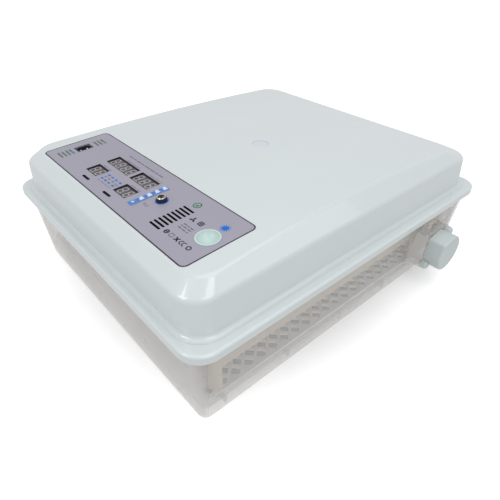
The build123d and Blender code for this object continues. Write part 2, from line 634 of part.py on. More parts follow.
def crank_roller():
    """The sleeve on the crank's pin."""
    z = MOTOR_Z + CRANK_THROW
    sleeve = rod_x(ROLLER_RADIUS, CRANK_PIN_TIP + 0.5, FRAME_WIDTH / 2 + 0.5, MOTOR_Y, z)
    return sleeve - rod_x(CRANK_PIN_RADIUS, CRANK_PIN_TIP, CRANK_ARM_LOW, MOTOR_Y, z)


# ---- Control electronics -------------------------------------------------------------------
def display(digits, u, v):
    """One seven-segment display module, standing on the control board."""
    body = block(digits * DIGIT_PITCH - 0.9, DISPLAY_DEPTH, BOARD_TOP, -DISPLAY_RECESS, (u, v))
    return on_panel(body)


def control_board():
    """The circuit board under the panel."""
    board = block(BOARD_SIZE[0], BOARD_SIZE[1], BOARD_TOP - BOARD_THICK, BOARD_TOP, BOARD_UV)
    holes = [rod(1.6, BOARD_TOP - 3, BOARD_TOP + 1, place) for place in BOARD_POSTS]
    socket = rod(5.4, BOARD_TOP - 3, BOARD_TOP + 1, (SOCKET_U, SOCKET_V))
    return on_panel(board - holes - socket)


def board_screws():
    """Screws that hold the control board and the inlet board from below."""
    low = BOARD_TOP - BOARD_THICK
    screws = [Pos(u, v, low) * screw(2.6, 1.8, 1.2, 5.5) for u, v in BOARD_POSTS]
    low = INLET_BOARD_TOP - BOARD_THICK
    screws += [Pos(u, v, low) * screw(2.2, 1.4, 1.0, 2.5) for u, v in inlet_board_holes()]
    return [on_panel(piece) for piece in screws]


def board_parts():
    """Relays and chips on the underside of the control board."""
    low = BOARD_TOP - BOARD_THICK
    parts = [block(19, 15.5, low - 15, low, (u, -18)) for u in (62, 86)]
    parts += [block(13, 10, low - 2.4, low, (-20, 6)), block(16, 7, low - 3.2, low, (-52, -6))]
    parts += [rod(4.0, low - 12, low, (u, 14)) for u in (70, 82)]
    return [on_panel(part) for part in parts]


def alarm_buzzer():
    """The alarm's round sounder, between the two sound slots."""
    body = rod(6.0, BOARD_TOP, BOARD_TOP + 5.2, BUZZER_UV)
    return on_panel(body - rod(1.0, BOARD_TOP + 3, BOARD_TOP + 6, BUZZER_UV))


def key_switches():
    """The five push switches under the keys."""
    return [on_panel(block(6, 6, BOARD_TOP, KEY_LOW - 1.6, (KEY_U, v))) for v in key_places()]


def key_cap(v):
    """A square key with side wings that keep it under the lid, and a stem for its switch."""
    cap = block(KEY_SIDE, KEY_SIDE, KEY_LOW, KEY_PROUD, (KEY_U, v))
    cap = fillet(cap.edges().group_by(Axis.Z)[-1], 0.5)
    cap += block(12.0, KEY_SIDE, KEY_LOW, KEY_LOW + 1.0, (KEY_U, v))
    cap += rod(1.5, KEY_LOW - 0.9, KEY_LOW, (KEY_U, v))
    return on_panel(cap)


def status_leds():
    """Three small lamps between the printed marks."""
    lamps = []
    for u in STATUS_U:
        lamp = rod(1.5, BOARD_TOP, -0.8, (u, STATUS_V))
        lamps.append(on_panel(fillet(lamp.edges().group_by(Axis.Z)[-1], 1.2)))
    return lamps


def mains_inlet():
    """The two-pin mains inlet, open upwards."""
    body = block(INLET_SIZE[0], INLET_SIZE[1], -17.0, -0.8, (INLET_U, INLET_V))
    recess = slot((18.0, 10.4), -13.0, 0.0, (0, 0))
    body -= Pos(INLET_U, INLET_V, 0) * Rot(0, 0, 90) * recess
    return on_panel(body - [rod(INLET_PIN_RADIUS, -18, -12, place) for place in inlet_pin_places()])


def inlet_pin_places():
    """U and V of the inlet's two pins."""
    return [(INLET_U, INLET_V + side * INLET_PIN_REACH) for side in (-1, 1)]


def inlet_pins():
    """The inlet's two round pins."""
    pins = [rod(INLET_PIN_RADIUS, -20.0, INLET_PIN_TIP, place) for place in inlet_pin_places()]
    return [on_panel(fillet(pin.edges().group_by(Axis.Z)[-1], 0.8)) for pin in pins]


def inlet_board():
    """The supply board round the inlet, close under the thin part of the lid."""
    low = INLET_BOARD_TOP - BOARD_THICK
    board = block(INLET_BOARD_SIZE[0], INLET_BOARD_SIZE[1], low, INLET_BOARD_TOP, INLET_BOARD_UV)
    cuts = [block(INLET_SIZE[0] + 0.6, INLET_SIZE[1] + 0.6, low - 1, 0, (INLET_U, INLET_V))]
    cuts.append(block(FILM_SIZE[0] + 0.3, FILM_SIZE[1] + 0.3, low - 1, 0, FILM_UV))
    cuts += [rod(1.2, low - 1, 0, place) for place in inlet_board_holes()]
    return on_panel(board - cuts)


def film_capacitor():
    """The blue film capacitor, set through the supply board."""
    return on_panel(block(FILM_SIZE[0], FILM_SIZE[1], -13.0, INLET_BOARD_TOP + 0.3, FILM_UV))


def supply_parts():
    """Transformer and smoothing capacitors on the underside of the supply board."""
    low = INLET_BOARD_TOP - BOARD_THICK
    parts = [block(20, 22, low - 17, low, (-112, 20))]
    parts += [rod(5.0, low - 16, low, (-112, v)) for v in (-8, -22)]
    return [on_panel(part) for part in parts]


def turner_socket():
    """The round screw socket for the turner motor's lead."""
    barrel = rod(SOCKET_RADIUS, -9.0, 5.2, (SOCKET_U, SOCKET_V))
    barrel = chamfer(barrel.edges().group_by(Axis.Z)[-1], 0.4)
    return on_panel(barrel - rod(3.9, -10, 6, (SOCKET_U, SOCKET_V)))


def socket_contact_places():
    """U and V of the socket's three contacts."""
    return [
        (SOCKET_U + 2.2 * cos(radians(a)), SOCKET_V + 2.2 * sin(radians(a))) for a in (90, 210, 330)
    ]


def socket_insert():
    """The black insert that holds the contacts."""
    insert = rod(3.85, -9.0, 1.5, (SOCKET_U, SOCKET_V))
    return on_panel(insert - [rod(0.55, -10, 2, place) for place in socket_contact_places()])


def socket_contacts():
    """Three contact pins."""
    return [on_panel(rod(0.5, -12.0, 3.8, place)) for place in socket_contact_places()]


def socket_nuts():
    """The knurled ring on the panel and the hexagon nut below it."""
    place = (SOCKET_U, SOCKET_V)
    ring = rod(6.1, 0.0, 2.8, place) - rod(SOCKET_RADIUS + 0.05, -1, 3, place)
    notches = [
        Pos(*place, 1.4) * Rot(0, 0, 15 * i) * Pos(6.2, 0, 0) * Box(0.5, 0.5, 4) for i in range(24)
    ]
    nut = extrude(Pos(*place, -5.4) * RegularPolygon(7.0, 6), 2.4)
    nut -= rod(SOCKET_RADIUS + 0.05, -7, 0, place)
    return [on_panel(ring - notches), on_panel(nut)]


def candling_cup():
    """The round dish over the test lamp, where one egg is held to look through it."""
    centre = Pos(CUP_U, CUP_V, 4.8)
    cup = centre * Sphere(13.6) & rod(CUP_RADIUS - 0.8, -12.0, 0.1, (CUP_U, CUP_V))
    cup += rod(CUP_RADIUS, 0.0, 0.7, (CUP_U, CUP_V))
    cup += [block(3, 5, -12.5, -2.0, (CUP_U + side * 9.5, CUP_V)) for side in (-1, 1)]
    return on_panel(cup - centre * Sphere(12.3))


def candling_lamp():
    """The white lamp under the dish."""
    lamp = rod(2.5, -12.5, -9.2, (CUP_U, CUP_V))
    lamp = fillet(lamp.edges().group_by(Axis.Z)[-1], 1.5)
    return on_panel(lamp + rod(2.9, -12.5, -11.5, (CUP_U, CUP_V)))


def candling_board():
    """The lamp's small board, on the dish's two legs."""
    return on_panel(block(24, 14, -14.1, -12.5, (CUP_U, CUP_V)))


# ---- Lid liner, fan and heater -------------------------------------------------------------
def corner_places(half):
    """Four places at the corners of a square."""
    return [(x, y) for x in (-half, half) for y in (-half, half)]


def lead_route(name):
    """Points of one lead: down from its board, level, and down through the liner."""
    x0, y0, _ = LEAD_START[name]
    x1, y1, _ = LEAD_END[name]
    run = LEAD_RUN[name]
    return [LEAD_START[name], (x0, y0, run), (x1, y1, run), LEAD_END[name]]


def liner():
    """The inner cover: a plate with a skirt, air slots and the fan's standoffs."""
    width = FOOT_WIDTH - 2 * LID_WALL - 2 * LINER_GAP
    depth = FOOT_DEPTH - 2 * LID_WALL - 2 * LINER_GAP
    corner = FOOT_CORNER - LID_WALL - LINER_GAP
    low = LINER_TOP - LINER_THICK
    plate = slab(width, depth, corner, low - LINER_SKIRT, LINER_TOP)
    plate -= slab(width - 4, depth - 4, corner - 2, low - LINER_SKIRT, low)
    plate += [rod(3.6, FAN_TOP, low + 1, place) for place in corner_places(FAN_HOLE)]
    cuts = [rod(1.7, low - 1, LINER_TOP + 1, place) for place in POST_XY]
    cuts += [rod(1.7, FAN_TOP - 1, LINER_TOP - 2, place) for place in corner_places(FAN_HOLE)]
    cuts += [
        Rot(0, 0, 60 * i) * slot((16, 4), low - 1, LINER_TOP + 1, (20, 0)) for i in range(6)
    ]
    cuts += [rod(LEAD_RADIUS + 0.6, low - 1, LINER_TOP + 1, (x, y)) for x, y, _ in LEAD_END.values()]
    return plate - cuts


def liner_screws():
    """Screws from below into the lid's posts."""
    return [Pos(x, y, LINER_TOP - LINER_THICK) * screw(3.6, 2.2, 1.55, 13) for x, y in POST_XY]


def fan_frame():
    """The square fan housing with its stator hub on four arms and a bearing for the rotor."""
    low = FAN_TOP - FAN_HEIGHT
    body = slab(FAN_SIZE, FAN_SIZE, 4, low, FAN_TOP) - rod(FAN_BORE, low - 1, FAN_TOP + 1)
    arms = block(2 * FAN_BORE + 2, 4, FAN_TOP - 2.5, FAN_TOP)
    body += arms + Rot(0, 0, 90) * arms
    body += rod(HUB_RADIUS - 0.5, FAN_TOP - 3.5, FAN_TOP)
    body += rod(4.0, low + 3.5, FAN_TOP - 3)
    body -= rod(1.55, low, FAN_TOP - 3.5)
    return body - [rod(2.2, low - 1, FAN_TOP + 1, place) for place in corner_places(FAN_HOLE)]


def fan_rotor():
    """The impeller: a cup hub on a shaft, with pitched blades."""
    low = FAN_TOP - FAN_HEIGHT + 1.0
    high = FAN_TOP - 4.0
    hub = rod(HUB_RADIUS, low, high) - rod(HUB_RADIUS - 1.5, low + 1.5, high + 1)
    hub += rod(1.5, low, high - 0.2)
    sweep_space = rod(FAN_BORE - 1.5, low + 0.5, high) - rod(HUB_RADIUS - 0.6, low, high + 1)
    middle = (low + high) / 2
    for i in range(BLADE_COUNT):
        angle = 360 / BLADE_COUNT * i
        blade = Rot(0, 0, angle) * Pos(FAN_BORE / 2 + 6, 0, middle) * Rot(32, 0, 0) * Box(30, 17, 1.4)
        hub += blade & sweep_space
    return hub


def fan_grille():
    """The finger guard below the fan."""
    rings = [Circle(r) - Circle(r - 1.4) for r in (12, 20, 28, 36)]
    arm = Rectangle(2 * FAN_HOLE * sqrt(2), 1.6)
    face = Sketch() + rings + [Rot(0, 0, 45) * arm, Rot(0, 0, 135) * arm]
    face += [Pos(*place) * Circle(4) for place in corner_places(FAN_HOLE)]
    face -= [Pos(*place) * Circle(2.1) for place in corner_places(FAN_HOLE)]
    return Pos(0, 0, FAN_TOP - FAN_HEIGHT - 1.5) * extrude(face, 1.5)


def fan_screws():
    """Four long screws up through the guard and the fan."""
    z = FAN_TOP - FAN_HEIGHT - 1.5
    return [Pos(x, y, z) * screw(3.4, 2.2, 1.6, 22) for x, y in corner_places(FAN_HOLE)]


def heater_ring():
    """The heating element, a ring round the fan."""
    return Pos(0, 0, HEATER_Z) * Torus(HEATER_RADIUS, 3.0)


def heater_clips():
    """Four clips that hang the heating element from the liner."""
    groove = Pos(0, 0, HEATER_Z) * Torus(HEATER_RADIUS, 3.05)
    clip = block(11, 8, HEATER_Z - 5, LINER_TOP - LINER_THICK, (HEATER_RADIUS, 0)) - groove
    return [Rot(0, 0, 90 * i) * clip for i in range(4)]


def sensor_housing():
    """The slotted cap of the temperature and humidity sensor."""
    high = LINER_TOP - LINER_THICK
    body = rod(7.0, 96.0, high, SENSOR_XY) - rod(5.6, 98.0, high - 1.5, SENSOR_XY)
    cuts = [
        Pos(*SENSOR_XY, 105) * Rot(0, 0, 45 * i) * Box(20, 2.2, 11) for i in range(4)
    ]
    cuts.append(rod(LEAD_RADIUS + 0.2, high - 3, high + 1, SENSOR_XY))
    return body - cuts


def sensor_element():
    """The sensing chip inside its cap."""
    return block(6, 3, 100.0, 112.0, SENSOR_XY)


def wiring():
    """The insulated leads above the liner, in straight runs joined by arcs."""
    solids = []
    for name in LEAD_START:
        path = FilletPolyline(*lead_route(name), radius=LEAD_BEND)
        start = Plane(origin=LEAD_START[name], z_dir=(0, 0, -1))
        solids.append(sweep(start * Circle(LEAD_RADIUS), path=path))
    return solids


# ---- Output --------------------------------------------------------------------------------
def model():
    """Every sub-part by node name."""
    parts = {
        "tub": tub(),
        "floor_grid": floor_grid(),
        "grid_feet": grid_feet(),
        "turning_frame": turning_frame(),
        "turner_fork": turner_fork(),
        "fork_screws": fork_screws(),
        "motor_cover": motor_cover(),
        "turner_motor": turner_motor(),
        "cover_screws": cover_screws(),
        "motor_shaft": motor_shaft(),
        "crank_arm": crank_arm(),
        "crank_roller": crank_roller(),
        "lid_shell": lid_shell(),
        "control_label": control_label(),
        "gate_disc": gate_disc(),
        "liner": liner(),
        "liner_screws": liner_screws(),
        "control_board": control_board(),
        "board_screws": board_screws(),
        "board_parts": board_parts(),
        "alarm_buzzer": alarm_buzzer(),
        "key_switches": key_switches(),
        "status_leds": status_leds(),
        "mains_inlet": mains_inlet(),
        "inlet_pins": inlet_pins(),
        "inlet_board": inlet_board(),
        "film_capacitor": film_capacitor(),
        "supply_parts": supply_parts(),
        "turner_socket": turner_socket(),
        "socket_insert": socket_insert(),
        "socket_contacts": socket_contacts(),
        "socket_nuts": socket_nuts(),
        "candling_cup": candling_cup(),
        "candling_lamp": candling_lamp(),
        "candling_board": candling_board(),
        "fan_frame": fan_frame(),
        "fan_rotor": fan_rotor(),
        "fan_grille": fan_grille(),
        "fan_screws": fan_screws(),
        "heater_ring": heater_ring(),
        "heater_clips": heater_clips(),
        "sensor_housing": sensor_housing(),
        "sensor_element": sensor_element(),
        "wiring": wiring(),
    }
    for number, y in enumerate(divider_places(), 1):
        parts[f"divider_{number}"] = divider(y)
    for number, v in enumerate(key_places(), 1):
        parts[f"key_{number}"] = key_cap(v)
    for name, (digits, u, v) in DISPLAYS.items():
        parts[name] = display(digits, u, v)
    return parts


os.makedirs("parts", exist_ok=True)
for node, shape in model().items():
    group = Compound(children=shape) if isinstance(shape, list) else shape
    export_step(group, f"parts/{node}.step")
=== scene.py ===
import json
from math import cos, pi, radians, sin, sqrt, tau

import bmesh
import bpy
from mathutils import Matrix, Vector


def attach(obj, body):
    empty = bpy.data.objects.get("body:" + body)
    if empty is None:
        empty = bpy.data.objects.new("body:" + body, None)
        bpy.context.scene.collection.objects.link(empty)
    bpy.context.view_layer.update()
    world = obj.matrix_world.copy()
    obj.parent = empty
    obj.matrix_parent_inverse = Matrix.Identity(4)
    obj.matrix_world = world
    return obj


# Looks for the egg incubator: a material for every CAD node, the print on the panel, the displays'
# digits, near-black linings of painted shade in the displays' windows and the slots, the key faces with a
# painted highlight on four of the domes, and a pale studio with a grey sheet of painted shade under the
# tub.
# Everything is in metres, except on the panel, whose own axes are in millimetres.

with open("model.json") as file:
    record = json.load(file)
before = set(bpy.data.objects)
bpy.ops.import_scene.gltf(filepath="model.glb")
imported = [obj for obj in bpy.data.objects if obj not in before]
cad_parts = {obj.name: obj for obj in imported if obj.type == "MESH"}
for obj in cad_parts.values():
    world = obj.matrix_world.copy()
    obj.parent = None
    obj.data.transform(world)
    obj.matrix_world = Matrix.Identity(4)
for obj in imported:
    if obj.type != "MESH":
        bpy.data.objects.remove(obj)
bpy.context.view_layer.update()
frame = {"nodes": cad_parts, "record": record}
nodes = frame["nodes"]
MM = 0.001


# ---- Colour --------------------------------------------------------------------------------
def linear(red, green, blue):
    """An sRGB colour in 0-255 as linear RGBA."""
    return tuple((c / 255 / 12.92 if c <= 10.3 else ((c / 255 + 0.055) / 1.055) ** 2.4)
                 for c in (red, green, blue)) + (1.0,)


def scaled(color, factor):
    """A colour made lighter or darker."""
    return tuple(min(1.0, c * factor) for c in color[:3]) + (1.0,)


# ---- Materials -----------------------------------------------------------------------------
class Surface:
    """A principled material with object-space procedural colour, roughness and bump."""

    def __init__(self, name, color, roughness=0.4, **sockets):
        self.material = bpy.data.materials.new(name)
        self.material.use_nodes = True
        self.tree = self.material.node_tree
        self.shader = self.tree.nodes["Principled BSDF"]
        self.base = color
        self.set("Base Color", color)
        self.set("Roughness", roughness)
        for socket, value in sockets.items():
            self.set(socket.replace("_", " "), value)
        self.place = self.node("ShaderNodeTexCoord").outputs["Object"]

    def set(self, socket, value):
        self.shader.inputs[socket].default_value = value

    def node(self, kind, **settings):
        made = self.tree.nodes.new(kind)
        for key, value in settings.items():
            setattr(made, key, value)
        return made

    def link(self, output, target):
        self.tree.links.new(output, target)

    def noise(self, scale, detail=3.0, roughness=0.55, stretch=None):
        """Noise with so many features to the metre."""
        place = self.place
        if stretch:
            mapping = self.node("ShaderNodeMapping")
            mapping.inputs["Scale"].default_value = stretch
            self.link(place, mapping.inputs["Vector"])
            place = mapping.outputs["Vector"]
        made = self.node("ShaderNodeTexNoise")
        made.inputs["Scale"].default_value = scale
        made.inputs["Detail"].default_value = detail
        made.inputs["Roughness"].default_value = roughness
        self.link(place, made.inputs["Vector"])
        return made.outputs["Fac"]

    def spread(self, value, low, high, start=0.3, end=0.7):
        """A value remapped from a noise's useful range."""
        made = self.node("ShaderNodeMapRange")
        made.inputs["From Min"].default_value = start
        made.inputs["From Max"].default_value = end
        made.inputs["To Min"].default_value = low
        made.inputs["To Max"].default_value = high
        self.link(value, made.inputs["Value"])
        return made.outputs["Result"]

    def mottle(self, value, darker, lighter):
        """Base colour that drifts a little between two shades."""
        ramp = self.node("ShaderNodeValToRGB")
        ramp.color_ramp.elements[0].position = 0.32
        ramp.color_ramp.elements[1].position = 0.68
        ramp.color_ramp.elements[0].color = scaled(self.base, darker)
        ramp.color_ramp.elements[1].color = scaled(self.base, lighter)
        self.link(value, ramp.inputs["Fac"])
        self.link(ramp.outputs["Color"], self.shader.inputs["Base Color"])
        return self

    def rough(self, value, low, high):
        self.link(self.spread(value, low, high), self.shader.inputs["Roughness"])
        return self

    def bump(self, height, distance, strength=0.5):
        made = self.node("ShaderNodeBump")
        made.inputs["Strength"].default_value = strength
        made.inputs["Distance"].default_value = distance
        self.link(height, made.inputs["Height"])
        self.link(made.outputs["Normal"], self.shader.inputs["Normal"])
        return self


def moulded(name, color, roughness, grain=900.0, depth=0.00004, drift=0.03, **sockets):
    """Injection-moulded plastic: faint drift of colour and gloss, and a fine skin."""
    made = Surface(name, color, roughness, **sockets)
    made.mottle(made.noise(9.0, 4.0), 1 - drift, 1 + drift)
    made.rough(made.noise(35.0, 5.0), roughness * 0.85, roughness * 1.15)
    made.bump(made.noise(grain, 2.0), depth, 0.35)
    return made.material


def metal(name, color, roughness, stretch=(1, 1, 1), **sockets):
    """Plated or brushed metal with fine lines."""
    made = Surface(name, color, roughness, Metallic=1.0, **sockets)
    lines = made.noise(700.0, 3.0, 0.6, stretch)
    made.mottle(lines, 0.86, 1.08)
    made.rough(lines, roughness * 0.7, roughness * 1.3)
    made.bump(lines, 0.00002, 0.3)
    return made.material


def ink(name, color, roughness=0.45):
    """Screen-printed ink with a slightly uneven coat."""
    made = Surface(name, color, roughness, Specular_IOR_Level=0.2)
    made.mottle(made.noise(600.0, 3.0), 0.9, 1.08)
    made.bump(made.noise(2500.0, 2.0), 0.00001, 0.3)
    return made.material


def lid_plastic():
    """The lid's off-white plastic: glossy, with faint flow marks and a very soft waviness."""
    made = Surface("lid_plastic", linear(203, 210, 211), 0.2, Coat_Weight=1.0, Coat_Roughness=0.03)
    flow = made.noise(5.0, 4.0, 0.5, (1.0, 0.45, 1.0))
    made.mottle(flow, 0.975, 1.02)
    made.rough(made.noise(28.0, 5.0), 0.19, 0.26)
    made.bump(made.noise(3.2, 2.0), 0.0005, 0.2)
    return made.material


def tub_plastic():
    """The tub's translucent natural plastic: milky, and more so in the front and rear walls."""
    made = Surface("tub_plastic", linear(226, 223, 220), 0.3, Alpha=0.3)
    facing = made.node("ShaderNodeSeparateXYZ")
    made.link(made.node("ShaderNodeNewGeometry").outputs["Normal"], facing.inputs["Vector"])
    ends = made.node("ShaderNodeMath", operation="ABSOLUTE")
    made.link(facing.outputs["Y"], ends.inputs[0])
    made.link(made.spread(ends.outputs["Value"], 0.28, 0.58, 0.2, 1.0), made.shader.inputs["Alpha"])
    made.mottle(made.noise(7.0, 3.0, 0.5), 0.96, 1.03)
    made.rough(made.noise(60.0, 4.0), 0.26, 0.36)
    made.bump(made.noise(700.0, 2.0), 0.00002, 0.2)
    return made.material


def label_film():
    """Printed lilac-grey film with a very fine texture that catches the light."""
    made = Surface("label_film", linear(152, 149, 163), 0.42, Coat_Weight=0.1, Coat_Roughness=0.35)
    made.mottle(made.noise(7.0, 3.0, 0.5, (0.4, 1.0, 1.0)), 0.94, 1.03)
    made.bump(made.noise(3200.0, 2.0), 0.00002, 0.4)
    return made.material


def circuit_board():
    """Green solder mask over a faint pattern of tracks, paler on the inlet's board at the left."""
    made = Surface("circuit_board", linear(20, 74, 40), 0.4, Coat_Weight=0.15)
    tracks = made.node("ShaderNodeTexVoronoi", distance="MANHATTAN", feature="DISTANCE_TO_EDGE")
    tracks.inputs["Scale"].default_value = 260.0
    made.link(made.place, tracks.inputs["Vector"])
    edge = made.spread(tracks.outputs["Distance"], 0.0, 1.0, 0.02, 0.09)
    made.mottle(edge, 0.75, 1.1)
    made.bump(edge, 0.00005, 0.5)
    side = made.node("ShaderNodeSeparateXYZ")
    made.link(made.place, side.inputs["Vector"])
    shade = made.node("ShaderNodeMix", data_type="RGBA")
    made.link(made.spread(side.outputs["X"], 1.0, 0.0, -0.095, -0.085), shade.inputs["Factor"])
    made.link(made.shader.inputs["Base Color"].links[0].from_socket, shade.inputs["A"])
    shade.inputs["B"].default_value = linear(124, 158, 128)
    made.link(shade.outputs["Result"], made.shader.inputs["Base Color"])
    return made.material


def make_materials():
    """Every material by the record's slot name."""
    white = linear(214, 219, 219)
    return {
        "lid": lid_plastic(),
        "tub": tub_plastic(),
        "label": label_film(),
        "pcb": circuit_board(),
        "grid": moulded("grid_plastic", linear(234, 233, 229), 0.45),
        "frame": moulded("frame_plastic", linear(216, 206, 188), 0.42),
        "divider": moulded("divider_plastic", linear(214, 208, 196), 0.4),
        "gate": moulded("gate_disc_plastic", linear(204, 207, 216), 0.3),
        "motor_cover": moulded("motor_cover_plastic", linear(191, 199, 199), 0.36, grain=1500.0),
        "motor": metal("zinc_plate", linear(168, 168, 170), 0.38),
        "steel": metal("plated_steel", linear(186, 186, 188), 0.3),
        "nylon": moulded("natural_nylon", linear(218, 214, 200), 0.4),
        "liner": moulded("liner_plastic", white, 0.4),
        "electronics": moulded("component_black", linear(32, 32, 35), 0.42, grain=1800.0),
        "display": moulded("display_face", linear(74, 72, 82), 0.38, grain=2500.0),
        "film_cap": moulded("blue_epoxy", linear(84, 140, 200), 0.25, drift=0.08),
        "lamp": moulded("clear_lens", linear(76, 74, 82), 0.12, Coat_Weight=0.6),
        "inlet": moulded("inlet_black", linear(40, 40, 50), 0.4, grain=2200.0),
        "pins": metal("nickel_plate", linear(232, 230, 226), 0.2),
        "socket": metal("bright_nickel", linear(226, 225, 224), 0.12),
        "collar": moulded("collar_black", linear(34, 36, 44), 0.4),
        "cup": moulded("milky_dish", linear(190, 210, 207), 0.3, drift=0.02, Coat_Weight=0.2),
        "feet": moulded("foot_rubber", linear(168, 168, 165), 0.6),
        "key": moulded("key_cap", linear(150, 148, 162), 0.4, grain=2500.0),
        "fan": moulded("fan_nylon", linear(30, 30, 32), 0.45),
        "heater": metal("heater_sheath", linear(120, 112, 104), 0.42),
        "ceramic": moulded("clip_ceramic", linear(222, 216, 202), 0.55),
        "sensor": moulded("sensor_white", linear(228, 228, 226), 0.4),
        "lead": moulded("lead_rubber", linear(36, 36, 38), 0.5),
    }


def dress_cad(materials):
    """Put its finished material on each CAD node."""
    for part in frame["record"]["subparts"]:
        obj = nodes[part["node"]]
        obj.data.materials.clear()
        obj.data.materials.append(materials[part["material_slot"]])


# ---- The panel's axes ----------------------------------------------------------------------
SOCKET = (50.8, 2.9)       # U and V of the motor's round socket
SOCKET_TOP = 5.2           # W of its mount


def panel_frame():
    """Origin and axes of the control panel: U along X, V up the slope, W out of the lid."""
    mount = next(m for m in frame["record"]["mounts"] if m["name"] == "turner_socket")
    across = Vector((1, 0, 0))
    out = Vector(mount["axis"]).normalized()
    up = out.cross(across)
    origin = Vector(mount["pos_m"]) - (across * SOCKET[0] + up * SOCKET[1] + out * SOCKET_TOP) * MM
    return origin, across, up, out


ORIGIN, ACROSS, UP, OUT = panel_frame()


def at(u, v, w=0.0):
    """A point of the panel, from millimetres in its axes."""
    return ORIGIN + (ACROSS * u + UP * v + OUT * w) * MM


# ---- Outlines in the panel's plane ---------------------------------------------------------
def ellipse(u, v, half_u, half_v, count=28):
    """Points round an ellipse."""
    angles = [tau * i / count for i in range(count)]
    return [(u + half_u * cos(a), v + half_v * sin(a)) for a in angles]


def rounded(u, v, width, depth, radius, steps=6):
    """Points round a rectangle with round corners."""
    points = []
    for corner, (i, j) in enumerate(((1, 1), (-1, 1), (-1, -1), (1, -1))):
        for k in range(steps + 1):
            angle = pi / 2 * (corner + k / steps)
            points.append((u + i * (width / 2 - radius) + radius * cos(angle),
                           v + j * (depth / 2 - radius) + radius * sin(angle)))
    return points


def stroke(start, end, width):
    """Points round a straight bar."""
    du, dv = end[0] - start[0], end[1] - start[1]
    length = sqrt(du * du + dv * dv)
    nu, nv = -dv / length * width / 2, du / length * width / 2
    return [(start[0] + nu, start[1] + nv), (start[0] - nu, start[1] - nv),
            (end[0] - nu, end[1] - nv), (end[0] + nu, end[1] + nv)]


def star(u, v, outer, inner, rays, turn=0.0):
    """Points round a star."""
    points = []
    for i in range(2 * rays):
        reach = outer if i % 2 == 0 else inner
        angle = pi * i / rays + turn
        points.append((u + reach * cos(angle), v + reach * sin(angle)))
    return points


def arc_band(u, v, radius, width, start, end, steps=14):
    """Points round a bar bent along an arc, between two angles in degrees."""
    angles = [radians(start + (end - start) * i / steps) for i in range(steps + 1)]
    outer = [(u + (radius + width / 2) * cos(a), v + (radius + width / 2) * sin(a)) for a in angles]
    inner = [(u + (radius - width / 2) * cos(a), v + (radius - width / 2) * sin(a)) for a in angles]
    return outer + inner[::-1]


def segment(u, v, length, width, upright):
    """Points round one bar of a seven-segment digit, with pointed ends."""
    half, side = length / 2, width / 2
    points = [(-half, 0), (-half + side, side), (half - side, side), (half, 0),
              (half - side, -side), (-half + side, -side)]
    if upright:
        points = [(-b, a) for a, b in points]
    return [(u + a, v + b) for a, b in points]


# ---- Solids from outlines ------------------------------------------------------------------
def add_prism(mesh, outline, low, high, place=at):
    """A closed prism over an outline, between two heights."""
    bottom = [mesh.verts.new(place(u, v, low)) for u, v in outline]
    top = [mesh.verts.new(place(u, v, high)) for u, v in outline]
    mesh.faces.new(bottom[::-1])
    mesh.faces.new(top)
    add_walls(mesh, bottom, top)


def add_ring(mesh, outer, inner, low, high, place=at):
    """A closed band between two outlines that have equally many points."""
    loops = [[mesh.verts.new(place(u, v, w)) for u, v in outline]
             for outline, w in ((outer, low), (outer, high), (inner, high), (inner, low))]
    for first, second in zip(loops, loops[1:] + loops[:1]):
        add_walls(mesh, first, second)


def add_walls(mesh, low, high):
    """Quads between two closed loops."""
    count = len(low)
    for i in range(count):
        j = (i + 1) % count
        mesh.faces.new((low[i], low[j], high[j], high[i]))


def piece(name, build, material, body="lid", smooth=False):
    """A new object from a bmesh that build() fills."""
    mesh = bmesh.new()
    build(mesh)
    bmesh.ops.recalc_face_normals(mesh, faces=mesh.faces)
    data = bpy.data.meshes.new(name)
    mesh.to_mesh(data)
    mesh.free()
    for face in data.polygons:
        face.use_smooth = smooth
    data.materials.append(material)
    obj = bpy.data.objects.new(name, data)
    bpy.context.scene.collection.objects.link(obj)
    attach(obj, body)
    return obj


INK_LOW = -0.02            # mm in the film, so that a mark has no gap under it
INK_HIGH = 0.09


def printed(name, outlines, material, rings=()):
    """Marks printed on the panel's film."""
    def build(mesh):
        for outline in outlines:
            add_prism(mesh, outline, INK_LOW, INK_HIGH)
        for outer, inner in rings:
            add_ring(mesh, outer, inner, INK_LOW, INK_HIGH)
    return piece(name, build, material)


# ---- Displays ------------------------------------------------------------------------------
DIGIT_PITCH = 12.7
DIGIT_WIDTH = 6.6
DIGIT_HEIGHT = 12.0
DIGIT_BAR = 1.35           # width of a segment
DIGIT_GAP = 0.5            # between the ends of two segments
DIGIT_SLANT = 0.13
DIGIT_SHIFT = -0.6         # to the left, to make room for the point
POINT_RADIUS = 0.85
POINT_U = 1.3              # right of the digit's upright
POINT_V = -0.1             # and below its lowest bar
DISPLAY_DEPTH = 17.0
DISPLAY_MARGIN = -0.9      # a module's width less its digits' pitches
DISPLAY_FACE = -1.8        # W of a module's face
SEGMENT_SINK = 0.05
SEGMENT_RISE = 0.06
# Painted shade: a near-black band lines each display's window and stands in for the shade in its recess.
WINDOW_SHADE_OUT = 1.5            # added to a module's width and depth
WINDOW_SHADE_IN = 0.1
WINDOW_SHADE_DEPTH = 2.5          # below the module's face
WINDOW_SHADE_TOP = 0.08
DISPLAYS = {               # node: (digits, U, V)
    "display_upper_left": (4, -51.3, 12.2),
    "display_upper_right": (3, -0.4, 12.0),
    "display_lower_left": (2, -63.5, -15.4),
    "display_lower_right": (2, 5.1, -15.3),
}


